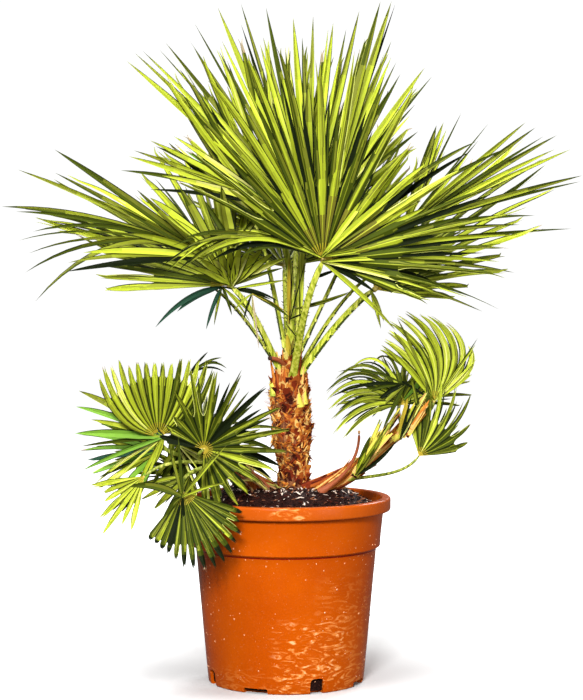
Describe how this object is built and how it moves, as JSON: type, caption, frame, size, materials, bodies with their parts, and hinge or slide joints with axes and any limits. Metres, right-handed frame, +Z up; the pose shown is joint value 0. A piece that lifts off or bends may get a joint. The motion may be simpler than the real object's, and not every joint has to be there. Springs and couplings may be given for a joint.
{
  "type": "potted european fan palm",
  "caption": "Young fan palm in a round nursery pot: one fibrous trunk with a full crown of fan fronds on slim stalks, and a leafy sucker on each side.",
  "frame": {"origin": "centre of the flat underside of the pot", "axes": "+Z up along the pot's axis, -Y towards the picture's viewer, +X to the viewer's right"},
  "size_m": [0.8886, 0.7237, 1.0351],
  "materials": {
    "pot": "glossy orange injection moulded plastic",
    "soil": "dark crumbly potting soil with pale bark flecks",
    "trunk": "rough red-brown leaf bases and fibre",
    "stalk": "satin yellow-green leaf stalk",
    "blade": "satin yellow-green pleated leaf"
  },
  "bodies": {
    "root": {"pot": "pot", "soil": "soil", "trunk": "trunk", "left_stem": "trunk", "right_stem": "trunk", "spear": "stalk", "stub": "stalk", "dry_stalk": "stalk", "stalk_front": "stalk", "stalk_left": "stalk", "stalk_right": "stalk", "stalk_centre_left": "stalk", "stalk_centre_right": "stalk", "stalk_high_back": "stalk", "stalk_side_right": "stalk", "stalk_side_left": "stalk", "stalk_back_left": "stalk", "stalk_back_right": "stalk", "stalk_back": "stalk", "stalk_cup": "stalk", "stalk_star": "stalk", "stalk_outer_left": "stalk", "stalk_low_left": "stalk", "stalk_inner_left": "stalk", "stalk_over_rim": "stalk", "stalk_left_rear": "stalk", "stalk_tall_right": "stalk", "stalk_arch_right": "stalk", "stalk_low_right": "stalk", "stalk_rear_right": "stalk", "frond_front": "blade", "frond_left": "blade", "frond_right": "blade", "frond_centre_left": "blade", "frond_centre_right": "blade", "frond_high_back": "blade", "frond_side_right": "blade", "frond_side_left": "blade", "frond_back_left": "blade", "frond_back_right": "blade", "frond_back": "blade", "frond_cup": "blade", "frond_star": "blade", "frond_outer_left": "blade", "frond_low_left": "blade", "frond_inner_left": "blade", "frond_over_rim": "blade", "frond_left_rear": "blade", "frond_tall_right": "blade", "frond_arch_right": "blade", "frond_low_right": "blade", "frond_rear_right": "blade"}
  },
  "joints": []
}
